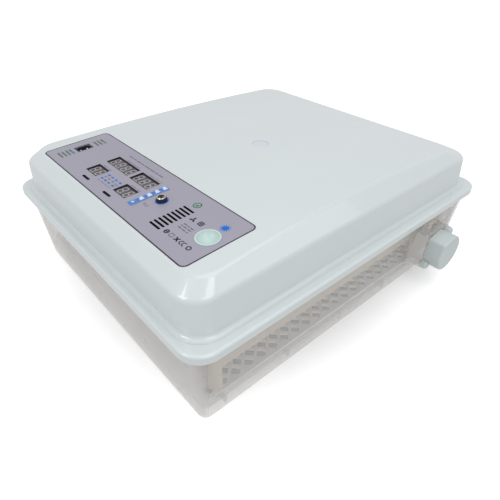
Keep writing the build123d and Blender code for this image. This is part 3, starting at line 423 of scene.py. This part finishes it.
def digit_outlines(u, v):
    """The seven bars and the point of one digit, leaning to the right."""
    bars = [segment(u, v + j * DIGIT_HEIGHT / 2, DIGIT_WIDTH - DIGIT_GAP, DIGIT_BAR, False)
            for j in (-1, 0, 1)]
    bars += [segment(u + i * DIGIT_WIDTH / 2, v + j * DIGIT_HEIGHT / 4, DIGIT_HEIGHT / 2 - DIGIT_GAP,
                     DIGIT_BAR, True) for i in (-1, 1) for j in (-1, 1)]
    leaning = [[(a + (b - v) * DIGIT_SLANT, b) for a, b in outline] for outline in bars]
    point = ellipse(u + DIGIT_WIDTH / 2 + POINT_U, v - DIGIT_HEIGHT / 2 + POINT_V,
                    POINT_RADIUS, POINT_RADIUS, 14)
    return leaning + [point]


def display_digits(name, digits, u, v, material):
    """The pale unlit segments of one display."""
    def build(mesh):
        for i in range(digits):
            centre = u + (i - (digits - 1) / 2) * DIGIT_PITCH + DIGIT_SHIFT
            for outline in digit_outlines(centre, v):
                add_prism(mesh, outline, DISPLAY_FACE - SEGMENT_SINK, DISPLAY_FACE + SEGMENT_RISE)
    return piece(name + "_segments", build, material)


def display_window_shade(name, digits, u, v, material):
    """Painted shade: the near-black band that lines the display's window and stands in for the shade in
    its recess.
    """
    width = digits * DIGIT_PITCH + DISPLAY_MARGIN

    def build(mesh):
        outer = rounded(u, v, width + WINDOW_SHADE_OUT, DISPLAY_DEPTH + WINDOW_SHADE_OUT, 0.3, 2)
        inner = rounded(u, v, width + WINDOW_SHADE_IN, DISPLAY_DEPTH + WINDOW_SHADE_IN, 0.2, 2)
        add_ring(mesh, outer, inner, DISPLAY_FACE - WINDOW_SHADE_DEPTH, WINDOW_SHADE_TOP)
    return piece(name + "_painted_window_shade", build, material)


# ---- Slots and the motor's socket ----------------------------------------------------------
VENT_PITCH = 5.125
VENTS = [(85.0, -6.7 + (i - 4) * VENT_PITCH) for i in range(9)]
VENT_SIZE = (18.4, 2.8)
SOUND_SLOTS = ((-56.2, -34.0), (-4.2, -34.0))
SOUND_SLOT_SIZE = (16.4, 3.4)
SLOT_GAP = 0.02            # between a slot's wall and its lining
LINING = 0.16              # thickness of the lining
LINING_LOW = -3.4
LINING_HIGH = -0.04
SLOT_SHADE_LOW = -2.6
SLOT_SHADE_HIGH = -2.0
DOME_COUNT = 11
DOME_PITCH = 1.3
DOME_TOP = -1.85


def pill(u, v, size, inset):
    """Points round a slot with round ends, a little inside its edge."""
    width, depth = size[0] - 2 * inset, size[1] - 2 * inset
    return rounded(u, v, width, depth, depth / 2 - 0.001, 8)


def slot_wall_shade(name, places, size, material):
    """Painted shade: near-black bands that line the walls of slots and stand in for the shade inside them.
    """
    def build(mesh):
        for u, v in places:
            outer = pill(u, v, size, SLOT_GAP)
            inner = pill(u, v, size, SLOT_GAP + LINING)
            add_ring(mesh, outer, inner, LINING_LOW, LINING_HIGH)
    return piece(name, build, material)


def sound_slot_shade(name, places, size, material):
    """Painted shade: a black sheet across the slots over the sounder, with a row of small domes, that
    stands in for the shade deep in the slots.
    """
    def build(mesh):
        for u, v in places:
            add_prism(mesh, pill(u, v, size, SLOT_GAP + LINING), SLOT_SHADE_LOW, SLOT_SHADE_HIGH)
            for i in range(DOME_COUNT):
                dome = u + (i - DOME_COUNT // 2) * DOME_PITCH
                add_prism(mesh, ellipse(dome, v, 0.45, 0.9, 12), SLOT_SHADE_HIGH - 0.01, DOME_TOP)
    return piece(name, build, material)


def socket_sleeve(material):
    """The socket's dark knurled sleeve, above its ring."""
    tip, root, bore = 5.55, 5.3, 4.93
    teeth, low, high = 30, 2.82, 4.1

    def build(mesh):
        outer = star(*SOCKET, tip, root, teeth)
        inner = ellipse(*SOCKET, bore, bore, 2 * teeth)
        add_ring(mesh, outer, inner, low, high)
    return piece("socket_sleeve", build, material)


# ---- Keys ----------------------------------------------------------------------------------
KEY_U = 32.2
KEY_V = -1.8
KEY_PITCH = 9.95
KEY_TOP = 0.6
DOME_SIZE = 8.3
DOME_RISE = 0.55
DOME_EDGE = 0.25           # height of a dome's edge
# Painted highlight: on every key but the first, a pale wedge over the upper part of the dome stands in for
# its glassy highlight. The first key's dot is print.
PRINT_AND_HIGHLIGHT_DEPTH = 0.5
HIGHLIGHT_HALF = 3.1          # half the width of a wedge
HIGHLIGHT_UP = 2.9            # its upper edge
HIGHLIGHT_WEDGES = {                 # key: lower edge of its wedge of painted highlight, left and right
    2: (-0.4, -2.6),
    3: (-0.6, -2.4),
    4: (-0.2, -2.6),
    5: (-0.6, -2.2),
}


def key_dome(number, v, material):
    """The domed glossy pad on one key."""
    steps = 8

    def fall(distance):
        return 1 - (2 * abs(distance) / DOME_SIZE) ** 3

    def height(a, b):
        return KEY_TOP - 0.02 + DOME_RISE * fall(a) * fall(b)

    def build(mesh):
        span = [DOME_SIZE * (i / steps - 0.5) for i in range(steps + 1)]
        top = [[mesh.verts.new(at(KEY_U + a, v + b, height(a, b))) for b in span] for a in span]
        for i in range(steps):
            for j in range(steps):
                mesh.faces.new((top[i][j], top[i + 1][j], top[i + 1][j + 1], top[i][j + 1]))
        rim = [top[i][0] for i in range(steps)] + [top[steps][j] for j in range(steps)]
        rim += [top[i][steps] for i in range(steps, 0, -1)] + [top[0][j] for j in range(steps, 0, -1)]
        base = [mesh.verts.new(p.co - OUT * DOME_EDGE * MM) for p in rim]
        add_walls(mesh, base, rim)
        mesh.faces.new(base)
    return piece(f"key_{number}_dome", build, material, f"key_{number}", smooth=True)


def key_print_and_highlight(number, v, material):
    """A pale mark on a key's gloss: a printed dot on the first key, and on the others a wedge of painted
    highlight over the upper part of the dome.
    """
    if number in HIGHLIGHT_WEDGES:
        left, right = HIGHLIGHT_WEDGES[number]
        outline = [(KEY_U - HIGHLIGHT_HALF, v + left), (KEY_U + HIGHLIGHT_HALF, v + right),
                   (KEY_U + HIGHLIGHT_HALF, v + HIGHLIGHT_UP), (KEY_U - HIGHLIGHT_HALF, v + HIGHLIGHT_UP)]
    else:
        outline = ellipse(KEY_U, v, 1.7, 1.5)
    top = KEY_TOP + DOME_RISE + 0.01

    def build(mesh):
        add_prism(mesh, outline, top - PRINT_AND_HIGHLIGHT_DEPTH, top - 0.02)
    return piece(f"key_{number}_symbol", build, material, f"key_{number}")


# ---- Printed marks -------------------------------------------------------------------------
PANEL_WIDTH = 317.5
PANEL_DEPTH = 90.2
PANEL_CORNER = 7.0
BORDER_INSET = 0.15        # from the film's edge to the printed border
BORDER = 1.2
WORD_GAP = 0.6             # in units of a word's length
MODE_OVALS = (             # U, V
    (-40.8, -11.5), (-32.9, -11.5), (-24.1, -11.5), (-14.8, -11.5),
    (-41.4, -20.7), (-33.3, -20.7), (-25.0, -20.7), (-15.8, -20.7),
)
SMALL_PRINT = (            # U, V, length, height, lengths of its words
    (-30.5, 31.4, 77.0, 1.5, (3, 2, 3, 2, 4, 3, 2, 3)),
    (-46.0, 23.4, 30.0, 0.7, (3, 2, 2)),
    (6.0, 23.2, 26.0, 0.7, (3, 3, 1)),
    (-60.0, -4.5, 20.0, 0.7, (3, 2)),
    (8.0, -4.3, 21.0, 0.7, (3, 2)),
    (-28.0, -25.4, 30.0, 0.6, (2, 3, 2, 2)),
    (-14.5, -15.9, 9.0, 0.6, (2, 1)),
    (-14.5, -17.6, 7.0, 0.6, (1, 2)),
    (45.0, -12.8, 9.0, 0.7, (2, 1)),
    (46.0, -15.0, 7.0, 0.7, (2,)),
    (110.5, -3.9, 16.0, 1.3, (2, 1, 2)),
    (110.5, -7.3, 16.0, 1.3, (1, 2, 2)),
    (110.5, -11.1, 16.0, 1.3, (2, 2, 1)),
)
AIR_MARK = (85.0, 25.1)
FAN_MARK = (103.4, 6.4)
VENT_MARK = (115.1, 7.6)
ROUND_MARK = (101.9, -24.0)
SQUARE_MARK = (110.6, -24.0)
CROSSED_MARK = (119.6, -24.0)
ARC_MARKS = ((127.4, -24.0), (131.6, -24.0))
BIN_MARK = (138.6, -24.0)
LAMP_STAR = (137.4, 20.5)


def text_line(u, v, length, height, words):
    """A line of small print as plain bars, one for each word."""
    total = sum(words) + WORD_GAP * (len(words) - 1)
    bars = []
    start = u - length / 2
    for word in words:
        run = length * word / total
        bars.append(stroke((start, v), (start + run, v), height))
        start += run + length * WORD_GAP / total
    return bars


def leaf(u, v, length, width, angle, steps=8):
    """A pointed leaf."""
    half = [(length * i / steps, width / 2 * sin(pi * i / steps)) for i in range(steps + 1)]
    outline = half + [(a, -b) for a, b in half[-2:0:-1]]
    c, s = cos(radians(angle)), sin(radians(angle))
    return [(u + a * c - b * s, v + a * s + b * c) for a, b in outline]


def border(inset):
    """The film's outline, drawn in."""
    return rounded(0, 0, PANEL_WIDTH - 2 * inset, PANEL_DEPTH - 2 * inset, PANEL_CORNER - inset)


def bar(centre, du, dv, width):
    """A straight bar through a centre, reaching du and dv to each side."""
    u, v = centre
    return stroke((u - du, v - dv), (u + du, v + dv), width)


def print_panel(blue, dark, grey, green):
    """Everything printed on the film."""
    printed("label_border", [], dark, [(border(BORDER_INSET), border(BORDER_INSET + BORDER))])
    printed("mode_ovals", [ellipse(u, v, 2.7, 1.25) for u, v in MODE_OVALS], blue)
    printed("small_print", [word for line in SMALL_PRINT for word in text_line(*line)], grey)
    printed("socket_ring", [], blue, [(ellipse(*SOCKET, 7.4, 7.4, 40), ellipse(*SOCKET, 5.0, 5.0, 40))])
    u, v = AIR_MARK
    leaves = [leaf(u - 1.4, v - 2.5, 5.6, 2.6, 45), leaf(u + 2.6, v + 2.1, 3.0, 1.6, 100)]
    printed("air_mark", leaves, green, [(ellipse(u, v, 5.2, 5.0, 32), ellipse(u, v, 3.9, 3.8, 32))])
    printed("fan_mark", [leaf(*FAN_MARK, 4.4, 2.6, 90 + 120 * i) for i in range(3)], dark)
    printed("vent_mark", [bar(VENT_MARK, 2.7, 0, 1.0), bar(VENT_MARK, 0, 2.6, 1.0)], dark,
            [(rounded(*VENT_MARK, 6.8, 6.4, 1.0, 2), rounded(*VENT_MARK, 4.4, 4.0, 0.6, 2))])
    printed("round_mark", [bar(ROUND_MARK, 2.3, 0, 1.4)], dark,
            [(ellipse(*ROUND_MARK, 3.2, 3.2), ellipse(*ROUND_MARK, 1.7, 1.7))])
    printed("square_mark", [], grey,
            [(rounded(*SQUARE_MARK, 6.0, 5.4, 0.4, 2), rounded(*SQUARE_MARK, 4.4, 3.8, 0.3, 2))])
    cross = [bar(CROSSED_MARK, 2.7, 2.6, 1.6), bar(CROSSED_MARK, 2.7, -2.6, 1.6)]
    printed("crossed_mark", cross, dark)
    printed("twin_arc_mark", [arc_band(u, v, 2.5, 1.1, 70, 290) for u, v in ARC_MARKS], dark)
    printed("bin_mark", [], dark, [(star(*BIN_MARK, 3.4, 2.9, 5, 0.3), star(*BIN_MARK, 2.0, 1.6, 5, 0.3))])
    printed("lamp_star", [star(*LAMP_STAR, 6.8, 2.9, 12, 0.1)], blue)


def panel_details():
    """Digits, near-black linings of painted shade in the display windows and slots, keys with painted
    highlights on their domes, and print.
    """
    blue = ink("print_blue", linear(4, 104, 198), 0.4)
    dark = ink("print_dark", linear(46, 43, 52))
    grey = ink("print_grey", linear(102, 99, 110))
    green = ink("print_green", linear(28, 116, 62))
    pale = ink("segment_pale", linear(176, 166, 167), 0.35)
    # Near-black painted shade for the display windows' walls.
    window_shade_black = moulded("display_window_painted_shade", linear(30, 29, 34), 0.45)
    glass = moulded("key_blue", linear(10, 116, 206), 0.2, Coat_Weight=0.4, Coat_Roughness=0.05)
    # Pale ink for the printed dot on the first key and the painted highlight on the other keys' domes.
    print_and_highlight = ink("key_print_and_painted_highlight", linear(196, 214, 238), 0.15)
    for name, (digits, u, v) in DISPLAYS.items():
        display_digits(name, digits, u, v, pale)
        display_window_shade(name, digits, u, v, window_shade_black)
    # Painted shade: the near-black walls of the slots and the black sheet across the sound slots stand in
    # for the shade inside them.
    slot_shade_black = moulded("slot_painted_shade", linear(16, 17, 20), 0.8, grain=3000.0)
    slot_wall_shade("vent_wall_painted_shade", VENTS, VENT_SIZE, slot_shade_black)
    slot_wall_shade("sound_slot_wall_painted_shade", SOUND_SLOTS, SOUND_SLOT_SIZE, slot_shade_black)
    sound_slot_shade("sound_slot_painted_shade", SOUND_SLOTS, SOUND_SLOT_SIZE, slot_shade_black)
    socket_sleeve(nodes["socket_nuts"].data.materials[0])
    for number in range(1, 6):
        v = KEY_V + (number - 3) * KEY_PITCH
        key_dome(number, v, glass)
        key_print_and_highlight(number, v, print_and_highlight)
    print_panel(blue, dark, grey, green)


# ---- Studio --------------------------------------------------------------------------------
CORNER = (0.19, -0.22, 0.15)       # the lid's front right corner, which shows both softboxes
FLOOR_SIZE = 12.0
FLOOR_DROP = 0.0004
GLOW = 0.36                        # the paper's glow away from the object
GLOW_START = 0.16                  # distance from the middle at which it begins
GLOW_FULL = 0.31
# Size and drop of the grey sheet of painted shade under the tub.
SHADE_SHEET_SIZE = (0.356, 0.436, 1.0)
SHADE_SHEET_DROP = 0.0002
LIGHTS = (                         # name, place, target, width, height, watts, colour
    ("ceiling_light", (0.3, 0.2, 2.2), (0, 0, 0.1), 2.0, 2.0, 11.0, (1, 1, 1)),
    ("softbox_left", (0.04, -1.43, 1.25), CORNER, 0.6, 0.8, 5.0, (1, 1, 1)),
    ("softbox_right", (1.30, -0.34, 1.30), CORNER, 0.8, 0.8, 3.8, (1, 1, 1)),
    ("window_light", (1.22, 0.75, 1.0), (0.2, -0.15, 0.15), 0.8, 0.8, 1.0, (0.97, 1.0, 1.0)),
)


def area_light(name, place, target, width, height, power, color):
    """A soft rectangular light aimed at a point."""
    data = bpy.data.lights.new(name, "AREA")
    data.shape = "RECTANGLE"
    data.size = width
    data.size_y = height
    data.energy = power
    data.color = color
    obj = bpy.data.objects.new(name, data)
    obj.location = place
    obj.rotation_euler = (Vector(target) - Vector(place)).to_track_quat("-Z", "Y").to_euler()
    bpy.context.scene.collection.objects.link(obj)


def surround():
    """An even pale sky."""
    world = bpy.data.worlds.new("studio")
    world.use_nodes = True
    background = world.node_tree.nodes["Background"]
    background.inputs["Color"].default_value = (0.98, 0.99, 1.0, 1.0)
    background.inputs["Strength"].default_value = 0.73
    bpy.context.scene.world = world


def stage_plane(name, size, drop):
    """A flat sheet under the object, which isn't part of it."""
    bpy.ops.mesh.primitive_plane_add(size=size, location=(0, 0, -drop))
    sheet = bpy.context.object
    sheet.name = name
    return sheet


def white_floor():
    """White paper that glows a little away from the object. Its light doesn't reach the object."""
    floor = stage_plane("floor", FLOOR_SIZE, FLOOR_DROP)
    paper = Surface("floor_paper", (0.93, 0.93, 0.93, 1.0), 0.9)
    paper.mottle(paper.noise(1.5), 0.99, 1.01)
    distance = paper.node("ShaderNodeVectorMath", operation="LENGTH")
    paper.link(paper.place, distance.inputs[0])
    glow = paper.spread(distance.outputs["Value"], 0.0, GLOW, GLOW_START, GLOW_FULL)
    paper.link(glow, paper.shader.inputs["Emission Strength"])
    paper.set("Emission Color", (1.0, 1.0, 1.0, 1.0))
    floor.data.materials.append(paper.material)
    floor.visible_diffuse = False
    floor.visible_glossy = False


def painted_shade_sheet():
    """Painted shade: a dark grey sheet, hidden by the tub's skirt, stands in for the shadow under the tub
    and keeps the space under it dark.
    """
    shade_sheet = stage_plane("painted_shade_under_tub", 1.0, SHADE_SHEET_DROP)
    shade_sheet.scale = SHADE_SHEET_SIZE
    # Dark grey painted shade where the tub's shadow falls.
    shade_paint = Surface("painted_shade_grey", (0.22, 0.22, 0.22, 1.0), 0.9)
    shade_sheet.data.materials.append(shade_paint.mottle(shade_paint.noise(200.0), 0.95, 1.05).material)


def studio():
    """A pale floor, a grey sheet of painted shade under the tub, a bright even surround and four soft
    lights.
    """
    surround()
    white_floor()
    painted_shade_sheet()
    for light in LIGHTS:
        area_light(*light)


def camera():
    """A view from the front right, at the height and distance of a person at the bench."""
    azimuth, elevation, roll = radians(47.847), radians(36.451), radians(1.106)
    distance, focal = 0.6943, 31.12
    target = Vector((-0.0001, -0.0001, -0.0062))
    back = Vector((sin(azimuth) * cos(elevation), -cos(azimuth) * cos(elevation), sin(elevation)))
    right = Vector((0, 0, 1)).cross(back).normalized()
    up = back.cross(right)
    x_axis = right * cos(roll) + up * sin(roll)
    y_axis = up * cos(roll) - right * sin(roll)
    data = bpy.data.cameras.new("camera")
    data.lens = focal
    data.sensor_width = 36.0
    data.clip_start = 0.01
    data.clip_end = 50.0
    obj = bpy.data.objects.new("camera", data)
    turn = Matrix((x_axis, y_axis, back)).transposed().to_4x4()
    obj.matrix_world = Matrix.Translation(target + back * distance) @ turn
    bpy.context.scene.collection.objects.link(obj)
    bpy.context.scene.camera = obj


dress_cad(make_materials())
panel_details()
studio()
camera()
bpy.context.scene.view_settings.view_transform = "Standard"
